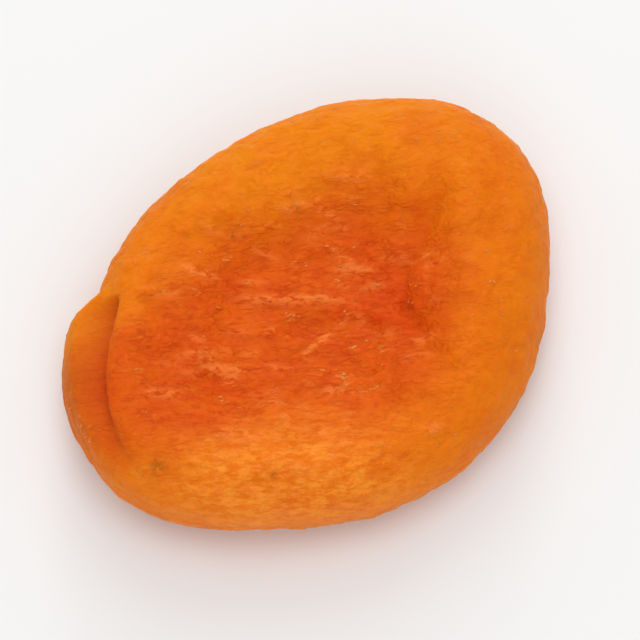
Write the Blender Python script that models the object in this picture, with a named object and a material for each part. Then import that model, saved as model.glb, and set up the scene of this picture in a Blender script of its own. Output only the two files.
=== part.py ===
"""A whole pitted dried apricot, pressed flat, lying on its underside.

The fruit is one solid. Its plan is a slightly uneven oval, X along the long axis, with the stem end at -X.
A plump rolled rim runs all round a sunken, wrinkled face. At the stem end the slit that the stone left by
is still open, and its lower lip stands out a little.

Every function below works in millimetres. The mesh is written in metres, +Z up, with the origin under the
middle of the fruit, on the surface that it lies on.

A table of swings holds waves round the rim: how many, how high, and the azimuth in degrees of a crest.
A table of swells holds single broad bumps: the azimuth in degrees, the spread in degrees and the height.
"""

import math
import random
from dataclasses import dataclass

import bmesh
import bpy
import numpy as np

# Shape of the plan. The second swing makes the oval, 45 mm long and 34 mm wide.
MEAN_RADIUS = 19.06
OUTLINE_SWINGS = ((1, 0.3, -33), (2, 2.39, 3), (3, 0.25, 36), (4, 0.66, 5), (5, 0.08, 36), (6, 0.23, 3))

# The rolled rim and the sunken face of the upper side, from the middle plane
RIM_HEIGHT = 4.7
RIM_HEIGHT_SWINGS = ((2, 0.25, 16), (5, 0.16, 13))
RIM_HEIGHT_SWELLS = ((-15, 45, 0.5),)
RIM_ROLL = 4.9
RIM_ROLL_SWINGS = ((4, 0.25, 8),)
RIM_ROLL_SWELLS = ((-14, 40, 3.2), (-105, 45, -0.7), (165, 35, -0.4))
FACE_HEIGHT = 2.1
FACE_FLATNESS = 1.8

# The underside. Its three low places are what the fruit lies on.
UNDER_HEIGHT = 4.4
UNDER_HEIGHT_SWINGS = ((3, 0.34, 13),)
UNDER_ROLL = 5.9
UNDER_FACE_HEIGHT = 2.6
UNDER_FLATNESS = 1.6

# The outermost edge wanders up and down round the fruit
EDGE_SWINGS = ((2, 0.4, 28), (3, 0.28, -8))

# How the dried fruit warped: its ends against its middle, its sides, and the twist between them
HALF_LENGTH = 22.0
HALF_WIDTH = 17.0
WARP_ENDS = 0.6
WARP_SIDES = -0.5
WARP_TWIST = 0.4

# Slight lumps all over the upper side: height, waves along X and along Y in radians per mm, and phase
LUMPS = ((0.08, 0.55, -0.6, 0.9), (-0.08, 0.55, 0.6, 1.7), (0.1, 0.9, -0.7, -1.57))

# The open slit at the stem end and the lip below it: where each starts round the fruit, where both fade out,
# how far round the roll the slit lies, and how it cuts in
LIP_START = math.radians(134)
LIP_CORNER = math.radians(10)
SLIT_START = math.radians(139)
SLIT_CORNER = math.radians(6)
SLIT_FADE = math.radians(149)
SLIT_END = math.radians(186)
SLIT_TURN = math.radians(40)
SLIT_LEAN = math.radians(62)
SLIT_DEPTH = 1.7
SLIT_HALF_WIDTH = 0.7
SLIT_REACHES_IN = 0.75
LIP_REACH = 1.7
LIP_DROP = 0.5
LIP_EDGE = 1.2

# How the skin folds: the height of a fold's shoulders against its depth, and how far out they lie
SHOULDER_HEIGHT = 0.3
SHOULDER_PLACE = 1.9

# How steep the skin may stand before the folds of a side fade out
FOLD_FADE_START = 0.05
FOLD_FADE_REACH = 0.5

# How far the soft underside gives way to the surface that it lies on
SETTLE = 0.6
SETTLE_EASE = 0.25

# The mesh is a divided box, with its top and bottom drawn into the two faces of the fruit and its sides into
# the rolled rim
CELLS_ACROSS = 34
CELLS_UP = 18
QUARTER_TURN = math.pi / 2.0
FULL_TURN = math.pi * 2.0
MM = 0.001

FLESH_COLOUR = (0.76, 0.15, 0.008, 1.0)
FLESH_ROUGHNESS = 0.5


@dataclass(frozen=True)
class Fold:
    """A short valley with raised shoulders in the skin, along an arc in plan. Its heading is in degrees."""

    x: float
    y: float
    heading: float
    length: float
    bend: float
    width: float
    depth: float


@dataclass(frozen=True)
class Strewing:
    """Small folds strewn over a face, most of them roughly along one heading."""

    seed: int
    count: int
    middle: tuple
    reach: tuple
    heading: float
    depth: float


@dataclass(frozen=True)
class Pleating:
    """Pleats all round that run out from the face over the inner wall of the rim."""

    seed: int
    count: int
    inset: float
    depth: float


# The creases that show from a step away, each placed by hand, and the smaller folds between them
UPPER_CREASES = (
    Fold(x=10.9, y=-0.6, heading=28.0, length=14.0, bend=0.012, width=1.3, depth=0.7),
    Fold(x=5.3, y=-5.4, heading=80.0, length=9.0, bend=0.02, width=1.2, depth=0.6),
    Fold(x=-8.0, y=-0.7, heading=-20.0, length=16.0, bend=-0.008, width=1.2, depth=0.42),
    Fold(x=-0.5, y=-1.4, heading=-36.0, length=9.0, bend=0.014, width=1.1, depth=0.4),
    Fold(x=-3.4, y=6.4, heading=-14.0, length=11.0, bend=0.01, width=1.3, depth=0.22),
    Fold(x=3.6, y=5.6, heading=-30.0, length=10.0, bend=-0.015, width=1.2, depth=0.22),
    Fold(x=-5.6, y=-5.6, heading=-30.0, length=10.0, bend=0.016, width=1.1, depth=0.32),
    Fold(x=-10.4, y=4.4, heading=-40.0, length=8.0, bend=-0.02, width=1.1, depth=0.32),
)
UPPER_STREWING = Strewing(seed=11, count=20, middle=(-2.4, 0.6), reach=(13.2, 10.8), heading=-34.0, depth=0.26)
UPPER_PLEATING = Pleating(seed=5, count=17, inset=1.6, depth=0.22)
UNDER_CREASES = (
    Fold(x=-1.0, y=0.8, heading=6.0, length=25.0, bend=0.006, width=1.4, depth=1.0),
    Fold(x=6.4, y=-4.4, heading=-24.0, length=13.0, bend=-0.02, width=1.3, depth=0.5),
    Fold(x=-7.0, y=5.4, heading=28.0, length=12.0, bend=-0.02, width=1.3, depth=0.5),
    Fold(x=-8.6, y=-4.6, heading=-32.0, length=11.0, bend=0.022, width=1.3, depth=0.45),
    Fold(x=4.6, y=6.2, heading=22.0, length=10.0, bend=0.02, width=1.3, depth=0.45),
)
UNDER_STREWING = Strewing(seed=23, count=18, middle=(0.0, 0.0), reach=(13.2, 10.8), heading=12.0, depth=0.24)
UNDER_PLEATING = Pleating(seed=8, count=15, inset=1.0, depth=0.26)


def smooth_step(value):
    """0 below 0, 1 above 1, and an S-shaped rise between."""
    clipped = np.clip(value, 0.0, 1.0)
    return clipped * clipped * (3.0 - 2.0 * clipped)


def swings(azimuth, table):
    """The sum of a table of swings at each azimuth."""
    total = np.zeros_like(azimuth)
    for count, height, crest in table:
        total += height * np.cos(count * (azimuth - math.radians(crest)))
    return total


def swells(azimuth, table):
    """The sum of a table of swells at each azimuth."""
    total = np.zeros_like(azimuth)
    for centre, spread, height in table:
        offset = (azimuth - math.radians(centre) + math.pi) % FULL_TURN - math.pi
        total += height * np.exp(-((offset / math.radians(spread)) ** 2))
    return total


def open_share(azimuth, start, corner):
    """How far the slit or its lip has opened: all of it past the corner, and it fades out at the stem end."""
    turn = azimuth % FULL_TURN
    closed = smooth_step((turn - SLIT_FADE) / (SLIT_END - SLIT_FADE))
    return smooth_step((turn - start) / corner) * (1.0 - closed)


def outline(azimuth):
    """The rim's distance from the middle in plan, without the lower lip."""
    return MEAN_RADIUS + swings(azimuth, OUTLINE_SWINGS)


def rim_roll(azimuth):
    """Width of the upper rolled rim in plan, broadest towards the tip."""
    return RIM_ROLL + swings(azimuth, RIM_ROLL_SWINGS) + swells(azimuth, RIM_ROLL_SWELLS)


def section(across_face, turn, roll, reach, edge, crest, face, flatness):
    """Plan radius and height of one side: out over the face to the crest, then round the roll to the edge."""
    rise = 0.5 - 0.5 * np.cos(math.pi * across_face**flatness)
    radius = (reach - roll) * across_face + roll * np.sin(turn)
    height = np.where(turn > 0.0, edge + (crest - edge) * np.cos(turn), face + (crest - face) * rise)
    return radius, height


def upper_section(across_face, turn, azimuth):
    """Plan radius and height on the upper side, with the slit and the lower lip."""
    crest = RIM_HEIGHT + swings(azimuth, RIM_HEIGHT_SWINGS) + swells(azimuth, RIM_HEIGHT_SWELLS)
    edge = swings(azimuth, EDGE_SWINGS)
    radius, height = section(
        across_face, turn, rim_roll(azimuth), outline(azimuth), edge, crest, FACE_HEIGHT, FACE_FLATNESS
    )
    on_roll = smooth_step((across_face - SLIT_REACHES_IN) / (1.0 - SLIT_REACHES_IN))
    from_slit = (turn - SLIT_TURN) * (RIM_ROLL + RIM_HEIGHT) / 2.0
    cut = np.sqrt(open_share(azimuth, SLIT_START, SLIT_CORNER)) * on_roll
    groove = SLIT_DEPTH * cut * np.exp(-((from_slit / SLIT_HALF_WIDTH) ** 2))
    lip = open_share(azimuth, LIP_START, LIP_CORNER) * on_roll * smooth_step(from_slit / LIP_EDGE)
    radius = radius + LIP_REACH * lip - groove * math.sin(SLIT_LEAN)
    height = height - LIP_DROP * lip * np.cos(turn) - groove * math.cos(SLIT_LEAN)
    return radius, height


def lower_section(across_face, turn, azimuth):
    """Plan radius and height on the underside, with the root of the lower lip."""
    crest = -UNDER_HEIGHT - swings(azimuth, UNDER_HEIGHT_SWINGS)
    edge = swings(azimuth, EDGE_SWINGS)
    radius, height = section(
        across_face, turn, UNDER_ROLL, outline(azimuth), edge, crest, -UNDER_FACE_HEIGHT, UNDER_FLATNESS
    )
    near_edge = smooth_step(2.0 * turn / QUARTER_TURN - 1.0)
    return radius + LIP_REACH * open_share(azimuth, LIP_START, LIP_CORNER) * near_edge, height


def warp(x, y):
    """Height that the drying gave or took, by the place in plan."""
    along = x / HALF_LENGTH
    across = y / HALF_WIDTH
    height = WARP_ENDS * along**2 + WARP_SIDES * across**2 + WARP_TWIST * along * across
    for swing, wave_x, wave_y, phase in LUMPS:
        height = height + swing * np.cos(wave_x * x + wave_y * y + phase)
    return height


def fruit_form(box):
    """Places each point of a box's surface on the plain pressed fruit, before its creases."""
    x, y, z = box.T
    disc_x = x * np.sqrt(1.0 - y**2 / 2.0)
    disc_y = y * np.sqrt(1.0 - x**2 / 2.0)
    azimuth = np.arctan2(disc_y, disc_x)
    across_face = np.minimum(np.hypot(disc_x, disc_y), 1.0)
    turn = (1.0 - np.abs(z)) * QUARTER_TURN
    upper_radius, upper_height = upper_section(across_face, turn, azimuth)
    lower_radius, lower_height = lower_section(across_face, turn, azimuth)
    radius = np.where(z >= 0.0, upper_radius, lower_radius)
    height = np.where(z >= 0.0, upper_height, lower_height)
    plan_x = radius * np.cos(azimuth)
    plan_y = radius * np.sin(azimuth)
    from_above = smooth_step(0.5 + 0.5 * z)
    return np.column_stack((plan_x, plan_y, height + warp(plan_x, plan_y) * from_above))


def strewn_folds(strewing):
    """The small folds of a face."""
    draw = random.Random(strewing.seed)
    folds = []
    for _ in range(strewing.count):
        azimuth = draw.uniform(0.0, FULL_TURN)
        distance = math.sqrt(draw.random())
        folds.append(
            Fold(
                x=strewing.middle[0] + strewing.reach[0] * distance * math.cos(azimuth),
                y=strewing.middle[1] + strewing.reach[1] * distance * math.sin(azimuth),
                heading=draw.gauss(strewing.heading, 20.0),
                length=draw.uniform(4.0, 8.0),
                bend=draw.uniform(-0.04, 0.04),
                width=draw.uniform(1.1, 1.4),
                depth=strewing.depth * draw.uniform(0.6, 1.2),
            )
        )
    return folds


def rim_pleats(pleating):
    """The pleats of one side's rim."""
    draw = random.Random(pleating.seed)
    pleats = []
    for number in range(pleating.count):
        azimuth = FULL_TURN * (number + draw.uniform(-0.35, 0.35)) / pleating.count
        place = np.array(azimuth)
        radius = float(outline(place) - rim_roll(place)) - pleating.inset
        pleats.append(
            Fold(
                x=radius * math.cos(azimuth),
                y=radius * math.sin(azimuth),
                heading=math.degrees(azimuth) + draw.uniform(-35.0, 35.0),
                length=draw.uniform(5.0, 8.5),
                bend=draw.uniform(-0.05, 0.05),
                width=draw.uniform(1.1, 1.5),
                depth=pleating.depth * draw.uniform(0.5, 1.3),
            )
        )
    return pleats


def fold_relief(x, y, folds):
    """Rise and fall of the skin over a set of folds."""
    relief = np.zeros_like(x)
    for fold in folds:
        heading = math.radians(fold.heading)
        along = (x - fold.x) * math.cos(heading) + (y - fold.y) * math.sin(heading)
        across = (y - fold.y) * math.cos(heading) - (x - fold.x) * math.sin(heading)
        across = across - fold.bend * along**2
        taper = np.clip(1.0 - (2.0 * along / fold.length) ** 2, 0.0, 1.0) ** 1.5
        valley = np.exp(-((across / fold.width) ** 2))
        shoulder = np.exp(-((np.abs(across) / fold.width - SHOULDER_PLACE) ** 2))
        relief += fold.depth * taper * (SHOULDER_HEIGHT * shoulder - valley)
    return relief


def wrinkle(points, normals):
    """Moves the skin in and out along its normals by the creases, folds and pleats of each side."""
    upper = list(UPPER_CREASES) + strewn_folds(UPPER_STREWING) + rim_pleats(UPPER_PLEATING)
    under = list(UNDER_CREASES) + strewn_folds(UNDER_STREWING) + rim_pleats(UNDER_PLEATING)
    x, y = points[:, 0], points[:, 1]
    facing = normals[:, 2]
    lift = fold_relief(x, y, upper) * smooth_step((facing - FOLD_FADE_START) / FOLD_FADE_REACH)
    lift += fold_relief(x, y, under) * smooth_step((-facing - FOLD_FADE_START) / FOLD_FADE_REACH)
    return points + normals * lift[:, None]


def settle(points):
    """Lets the fruit down until its lowest points give way, and flattens them on the surface."""
    height = points[:, 2] - points[:, 2].min() - SETTLE
    eased = (height + SETTLE_EASE) ** 2 / (4.0 * SETTLE_EASE)
    height = np.where(height > SETTLE_EASE, height, np.where(height > -SETTLE_EASE, eased, 0.0))
    middle = (points.max(axis=0) + points.min(axis=0)) / 2.0
    return np.column_stack((points[:, 0] - middle[0], points[:, 1] - middle[1], height))


def edge_rise(edge):
    """Difference in height between the ends of an edge."""
    return abs(edge.verts[0].co.z - edge.verts[1].co.z)


def divided_box(across, up):
    """A box from -1 to 1 with its faces divided into squares, as many across and up as asked for."""
    box = bmesh.new()
    bmesh.ops.create_cube(box, size=2.0)
    upright = [edge for edge in box.edges if edge_rise(edge) > 1.0]
    bmesh.ops.subdivide_edges(box, edges=upright, cuts=up - 1)
    level = [edge for edge in box.edges if edge_rise(edge) < 1.0 / up]
    bmesh.ops.subdivide_edges(box, edges=level, cuts=across - 1, use_grid_fill=True)
    return box


def flesh_material():
    """Matt, slightly translucent orange flesh."""
    material = bpy.data.materials.new("dried_flesh")
    material.use_nodes = True
    shader = material.node_tree.nodes["Principled BSDF"]
    shader.inputs["Base Color"].default_value = FLESH_COLOUR
    shader.inputs["Roughness"].default_value = FLESH_ROUGHNESS
    shader.inputs["Metallic"].default_value = 0.0
    return material


def coordinates(items, field):
    """The named vector of each item of a mesh, as rows."""
    values = np.empty(len(items) * 3)
    items.foreach_get(field, values)
    return values.reshape(-1, 3)


def apricot():
    """Builds the one solid of the fruit."""
    mesh = bpy.data.meshes.new("apricot")
    box = divided_box(CELLS_ACROSS, CELLS_UP)
    box.to_mesh(mesh)
    box.free()
    points = fruit_form(coordinates(mesh.vertices, "co"))
    mesh.vertices.foreach_set("co", points.ravel())
    mesh.update()
    points = settle(wrinkle(points, coordinates(mesh.vertices, "normal")))
    mesh.vertices.foreach_set("co", (points * MM).ravel())
    mesh.update()
    mesh.shade_smooth()
    mesh.materials.append(flesh_material())
    return bpy.data.objects.new("apricot", mesh)


def main():
    """Empties the scene and puts the fruit into a collection of its own."""
    for old in list(bpy.data.objects):
        bpy.data.objects.remove(old)
    fruit = bpy.data.collections.new("dried_apricot")
    bpy.context.scene.collection.children.link(fruit)
    fruit.objects.link(apricot())


main()
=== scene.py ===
"""Looks of a whole pitted dried apricot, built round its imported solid.

The fruit lies on its underside. X runs along its long axis with the stem end at -X, and Z is up.
The form and its folds are in millimetres. Finished meshes, nodes and the studio are in metres.

A table of swings holds waves round the rim: how many, how high, and the azimuth of a crest.
A table of swells holds single broad bumps: the azimuth, the spread and the height.
Angles in tables are in degrees.
"""

import logging
import math
import random
from collections.abc import Sequence
from dataclasses import dataclass, field
from enum import Enum

import bmesh
import bpy
import numpy as np
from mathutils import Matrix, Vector


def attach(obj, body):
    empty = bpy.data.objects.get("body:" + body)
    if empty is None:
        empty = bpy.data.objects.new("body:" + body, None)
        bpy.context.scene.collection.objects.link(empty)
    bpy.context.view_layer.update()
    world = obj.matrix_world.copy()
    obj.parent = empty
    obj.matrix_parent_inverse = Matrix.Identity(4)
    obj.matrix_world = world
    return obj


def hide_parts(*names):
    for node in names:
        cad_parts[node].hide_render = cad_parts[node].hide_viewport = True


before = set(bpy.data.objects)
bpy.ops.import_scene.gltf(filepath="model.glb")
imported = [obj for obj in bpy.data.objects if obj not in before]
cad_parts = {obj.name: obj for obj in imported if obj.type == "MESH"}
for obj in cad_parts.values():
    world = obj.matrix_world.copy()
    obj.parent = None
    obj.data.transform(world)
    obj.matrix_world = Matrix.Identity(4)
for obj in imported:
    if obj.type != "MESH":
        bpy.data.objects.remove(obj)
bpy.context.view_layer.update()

MM = 0.001
QUARTER_TURN = math.pi / 2.0
FULL_TURN = math.pi * 2.0
WRINKLE_HEADING = math.radians(-34.0)

Colour = tuple[float, float, float]
Place = tuple[float, float, float]
Range = tuple[float, float]
Table = Sequence[tuple[float, float, float]]

log = logging.getLogger("dried_apricot")


class Side(Enum):
    """The two faces of the pressed fruit, with the way that each one looks."""

    UPPER = 1.0
    UNDER = -1.0


def smooth_step(value: np.ndarray) -> np.ndarray:
    """0 below 0, 1 above 1, and an S-shaped rise between."""
    clipped = np.clip(value, 0.0, 1.0)
    return clipped * clipped * (3.0 - 2.0 * clipped)


def swings(azimuth: np.ndarray, table: Table) -> np.ndarray:
    """Adds up a table of swings.

    Args:
        azimuth: Where round the fruit each point lies.
        table: The swings.

    Returns:
        Their sum at each azimuth.
    """
    total = np.zeros_like(azimuth)
    for count, height, crest in table:
        total += height * np.cos(count * (azimuth - math.radians(crest)))
    return total


def swells(azimuth: np.ndarray, table: Table) -> np.ndarray:
    """Adds up a table of swells.

    Args:
        azimuth: Where round the fruit each point lies.
        table: The swells.

    Returns:
        Their sum at each azimuth.
    """
    total = np.zeros_like(azimuth)
    for centre, spread, height in table:
        offset = (azimuth - math.radians(centre) + math.pi) % FULL_TURN - math.pi
        total += height * np.exp(-((offset / math.radians(spread)) ** 2))
    return total


@dataclass(frozen=True)
class Fold:
    """A short valley with raised shoulders in the skin, along an arc in plan.

    Its heading is in degrees. A negative depth makes a raised row of it.
    """

    x: float
    y: float
    heading: float
    length: float
    bend: float
    width: float
    depth: float

    def relief(self, x: np.ndarray, y: np.ndarray, shoulder: float, place: float) -> np.ndarray:
        """Rise and fall of the skin over the fold.

        Args:
            x: Plan place along X of each point.
            y: Plan place along Y of each point.
            shoulder: Height of the shoulders against the fold's depth.
            place: How many widths from the valley the shoulders lie.

        Returns:
            The height that the fold adds at each point.
        """
        heading = math.radians(self.heading)
        along = (x - self.x) * math.cos(heading) + (y - self.y) * math.sin(heading)
        across = (y - self.y) * math.cos(heading) - (x - self.x) * math.sin(heading)
        across = across - self.bend * along**2
        taper = np.clip(1.0 - (2.0 * along / self.length) ** 2, 0.0, 1.0) ** 1.5
        valley = np.exp(-((across / self.width) ** 2))
        raised = np.exp(-((np.abs(across) / self.width - place) ** 2))
        return self.depth * taper * (shoulder * raised - valley)


@dataclass(frozen=True)
class FruitForm:
    """The plain pressed fruit before its creases: plan, rolled rim, two faces and slit."""

    mean_radius: float = 19.06
    outline_swings: Table = (
        (1, 0.3, -33),
        (2, 2.39, 3),
        (3, 0.25, 36),
        (4, 0.66, 5),
        (5, 0.08, 36),
        (6, 0.23, 3),
    )
    rim_height: float = 4.7
    rim_height_swings: Table = ((2, 0.25, 16), (5, 0.16, 13))
    rim_height_swells: Table = ((-15, 45, 0.5),)
    roll: float = 4.9
    roll_swings: Table = ((4, 0.25, 8),)
    roll_swells: Table = ((-14, 40, 3.2), (-105, 45, -0.7), (165, 35, -0.4))
    face_height: float = 2.1
    face_flatness: float = 1.8
    under_height: float = 4.4
    under_height_swings: Table = ((3, 0.34, 13),)
    under_roll: float = 5.9
    under_face_height: float = 2.6
    under_flatness: float = 1.6
    edge_swings: Table = ((2, 0.4, 28), (3, 0.28, -8))
    half_length: float = 22.0
    half_width: float = 17.0
    warp_ends: float = 0.6
    warp_sides: float = -0.5
    warp_twist: float = 0.4
    lumps: Sequence[tuple[float, float, float, float]] = (
        (0.08, 0.55, -0.6, 0.9),
        (-0.08, 0.55, 0.6, 1.7),
        (0.1, 0.9, -0.7, -1.57),
    )
    lip_start: float = math.radians(134)
    lip_corner: float = math.radians(10)
    slit_start: float = math.radians(139)
    slit_corner: float = math.radians(6)
    slit_fade: float = math.radians(149)
    slit_end: float = math.radians(186)
    slit_turn: float = math.radians(40)
    slit_lean: float = math.radians(62)
    slit_depth: float = 1.7
    slit_half_width: float = 0.7
    slit_reaches_in: float = 0.75
    lip_reach: float = 1.7
    lip_drop: float = 0.5
    lip_edge: float = 1.2

    def open_share(self, azimuth: np.ndarray, start: float, corner: float) -> np.ndarray:
        """How far the slit or its lip has opened: fully past its corner, less towards the stem end.

        Args:
            azimuth: Where round the fruit each point lies.
            start: Azimuth where it starts to open.
            corner: How much azimuth the corner takes.

        Returns:
            The share at each point, from 0 to 1.
        """
        turn = azimuth % FULL_TURN
        closed = smooth_step((turn - self.slit_fade) / (self.slit_end - self.slit_fade))
        return smooth_step((turn - start) / corner) * (1.0 - closed)

    def outline(self, azimuth: np.ndarray) -> np.ndarray:
        """The rim's distance from the middle in plan, without the lower lip."""
        return self.mean_radius + swings(azimuth, self.outline_swings)

    def rim_roll(self, azimuth: np.ndarray) -> np.ndarray:
        """Width of the upper rolled rim in plan, broadest towards the tip."""
        return self.roll + swings(azimuth, self.roll_swings) + swells(azimuth, self.roll_swells)

    def section(
        self,
        share: np.ndarray,
        turn: np.ndarray,
        azimuth: np.ndarray,
        roll: np.ndarray | float,
        heights: tuple[np.ndarray, float, float],
    ) -> tuple[np.ndarray, np.ndarray]:
        """One side's section: out over the face to the crest, then round the roll to the edge.

        Args:
            share: How far across the face each point lies, 1 at the crest.
            turn: How far round the roll it lies.
            azimuth: Its azimuth.
            roll: Width of the roll in plan.
            heights: The crest's height, the face's height and the face's flatness.

        Returns:
            The plan radius and the height of each point.
        """
        crest, face, flatness = heights
        edge = swings(azimuth, self.edge_swings)
        rise = 0.5 - 0.5 * np.cos(math.pi * share**flatness)
        radius = (self.outline(azimuth) - roll) * share + roll * np.sin(turn)
        on_roll = edge + (crest - edge) * np.cos(turn)
        return radius, np.where(turn > 0.0, on_roll, face + (crest - face) * rise)

    def slit(
        self, share: np.ndarray, turn: np.ndarray, azimuth: np.ndarray
    ) -> tuple[np.ndarray, np.ndarray]:
        """The slit and its lower lip, on the upper side.

        Args:
            share: How far across the face each point lies, 1 at the crest.
            turn: How far round the roll it lies.
            azimuth: Its azimuth.

        Returns:
            The groove's share and the lip's share at each point.
        """
        on_roll = smooth_step((share - self.slit_reaches_in) / (1.0 - self.slit_reaches_in))
        from_slit = (turn - self.slit_turn) * (self.roll + self.rim_height) / 2.0
        cut = np.sqrt(self.open_share(azimuth, self.slit_start, self.slit_corner)) * on_roll
        groove = cut * np.exp(-((from_slit / self.slit_half_width) ** 2))
        opened = self.open_share(azimuth, self.lip_start, self.lip_corner) * on_roll
        return groove, opened * smooth_step(from_slit / self.lip_edge)

    def upper(
        self, share: np.ndarray, turn: np.ndarray, azimuth: np.ndarray
    ) -> tuple[np.ndarray, np.ndarray]:
        """The upper side, with the slit and the lower lip.

        Args:
            share: How far across the face each point lies, 1 at the crest.
            turn: How far round the roll it lies.
            azimuth: Its azimuth.

        Returns:
            The plan radius and the height of each point.
        """
        crest = self.rim_height + swings(azimuth, self.rim_height_swings)
        crest = crest + swells(azimuth, self.rim_height_swells)
        heights = (crest, self.face_height, self.face_flatness)
        radius, height = self.section(share, turn, azimuth, self.rim_roll(azimuth), heights)
        groove, lip = self.slit(share, turn, azimuth)
        cut = self.slit_depth * groove
        radius = radius + self.lip_reach * lip - cut * math.sin(self.slit_lean)
        height = height - self.lip_drop * lip * np.cos(turn) - cut * math.cos(self.slit_lean)
        return radius, height

    def lower(
        self, share: np.ndarray, turn: np.ndarray, azimuth: np.ndarray
    ) -> tuple[np.ndarray, np.ndarray]:
        """The underside, with the root of the lower lip.

        Args:
            share: How far across the face each point lies, 1 at the crest.
            turn: How far round the roll it lies.
            azimuth: Its azimuth.

        Returns:
            The plan radius and the height of each point.
        """
        crest = -self.under_height - swings(azimuth, self.under_height_swings)
        heights = (crest, -self.under_face_height, self.under_flatness)
        radius, height = self.section(share, turn, azimuth, self.under_roll, heights)
        return radius + self.lip_reach * self.lip_root(turn, azimuth), height

    def lip_root(self, turn: np.ndarray, azimuth: np.ndarray) -> np.ndarray:
        """How far the lower lip stands out at each point of the underside, from 0 to 1."""
        near_edge = smooth_step(2.0 * turn / QUARTER_TURN - 1.0)
        return self.open_share(azimuth, self.lip_start, self.lip_corner) * near_edge

    def warp(self, x: np.ndarray, y: np.ndarray) -> np.ndarray:
        """Height that the drying gave or took.

        Args:
            x: Plan place along X of each point.
            y: Plan place along Y of each point.

        Returns:
            The height at each point.
        """
        along = x / self.half_length
        across = y / self.half_width
        height = self.warp_ends * along**2 + self.warp_sides * across**2
        height = height + self.warp_twist * along * across
        for swing, wave_x, wave_y, phase in self.lumps:
            height = height + swing * np.cos(wave_x * x + wave_y * y + phase)
        return height

    def places(self, box: np.ndarray) -> tuple[np.ndarray, np.ndarray, np.ndarray]:
        """Where each point of a box's surface lies on the fruit.

        Args:
            box: The points, on a box from -1 to 1.

        Returns:
            The share of the face, the turn round the roll and the azimuth of each point.
        """
        x, y, z = box.T
        disc_x = x * np.sqrt(1.0 - y**2 / 2.0)
        disc_y = y * np.sqrt(1.0 - x**2 / 2.0)
        share = np.minimum(np.hypot(disc_x, disc_y), 1.0)
        return share, (1.0 - np.abs(z)) * QUARTER_TURN, np.arctan2(disc_y, disc_x)

    def points(self, box: np.ndarray) -> np.ndarray:
        """Places each point of a box's surface on the plain pressed fruit.

        Args:
            box: The points, on a box from -1 to 1.

        Returns:
            The points of the fruit, as rows.
        """
        share, turn, azimuth = self.places(box)
        upper_radius, upper_height = self.upper(share, turn, azimuth)
        lower_radius, lower_height = self.lower(share, turn, azimuth)
        above = box[:, 2] >= 0.0
        radius = np.where(above, upper_radius, lower_radius)
        height = np.where(above, upper_height, lower_height)
        x = radius * np.cos(azimuth)
        y = radius * np.sin(azimuth)
        from_above = smooth_step(0.5 + 0.5 * box[:, 2])
        return np.column_stack((x, y, height + self.warp(x, y) * from_above))


@dataclass(frozen=True)
class Strewing:
    """Folds strewn over a face, most of them roughly along one heading."""

    seed: int
    count: int
    middle: tuple[float, float]
    reach: tuple[float, float]
    heading: float
    depth: float
    lengths: Range = (4.0, 8.0)
    widths: Range = (1.1, 1.4)
    heading_spread: float = 20.0
    bends: Range = (-0.04, 0.04)
    depth_shares: Range = (0.6, 1.2)

    def folds(self) -> list[Fold]:
        """Draws the folds from the seed.

        Returns:
            The folds.
        """
        draw = random.Random(self.seed)
        made = []
        for _ in range(self.count):
            azimuth = draw.uniform(0.0, FULL_TURN)
            distance = math.sqrt(draw.random())
            made.append(
                Fold(
                    x=self.middle[0] + self.reach[0] * distance * math.cos(azimuth),
                    y=self.middle[1] + self.reach[1] * distance * math.sin(azimuth),
                    heading=draw.gauss(self.heading, self.heading_spread),
                    length=draw.uniform(*self.lengths),
                    bend=draw.uniform(*self.bends),
                    width=draw.uniform(*self.widths),
                    depth=self.depth * draw.uniform(*self.depth_shares),
                )
            )
        return made


@dataclass(frozen=True)
class Pleating:
    """Pleats all round that run out from the face over the inner wall of the rim."""

    seed: int
    count: int
    inset: float
    depth: float
    lengths: Range = (5.0, 8.5)
    widths: Range = (1.1, 1.5)
    strays: Range = (-0.35, 0.35)
    turns: Range = (-35.0, 35.0)
    bends: Range = (-0.05, 0.05)
    depth_shares: Range = (0.5, 1.3)

    def folds(self, form: FruitForm) -> list[Fold]:
        """Draws the pleats from the seed.

        Args:
            form: The fruit whose rim they stand along.

        Returns:
            The pleats.
        """
        draw = random.Random(self.seed)
        made = []
        for number in range(self.count):
            azimuth = FULL_TURN * (number + draw.uniform(*self.strays)) / self.count
            place = np.array(azimuth)
            radius = float(form.outline(place) - form.rim_roll(place)) - self.inset
            made.append(
                Fold(
                    x=radius * math.cos(azimuth),
                    y=radius * math.sin(azimuth),
                    heading=math.degrees(azimuth) + draw.uniform(*self.turns),
                    length=draw.uniform(*self.lengths),
                    bend=draw.uniform(*self.bends),
                    width=draw.uniform(*self.widths),
                    depth=self.depth * draw.uniform(*self.depth_shares),
                )
            )
        return made


@dataclass(frozen=True)
class Creasing:
    """All the folds of one side: those listed one by one, the strewn ones and the pleats of its rim."""

    side: Side
    creases: Sequence[Fold]
    strewings: Sequence[Strewing]
    pleatings: Sequence[Pleating]
    shoulder: float = 0.3
    shoulder_place: float = 1.9
    fade_start: float = 0.05
    fade_reach: float = 0.5

    def relief(self, form: FruitForm, points: np.ndarray, normals: np.ndarray) -> np.ndarray:
        """The height that this side's folds add along the normal at each point.

        Args:
            form: The fruit that the folds lie on.
            points: Its points.
            normals: The normal at each of them.

        Returns:
            The height at each point, which fades out where the skin stands steep.
        """
        folds = list(self.creases)
        for strewing in self.strewings:
            folds += strewing.folds()
        for pleating in self.pleatings:
            folds += pleating.folds(form)
        total = np.zeros(len(points))
        for fold in folds:
            total += fold.relief(points[:, 0], points[:, 1], self.shoulder, self.shoulder_place)
        facing = self.side.value * normals[:, 2]
        return total * smooth_step((facing - self.fade_start) / self.fade_reach)


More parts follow.
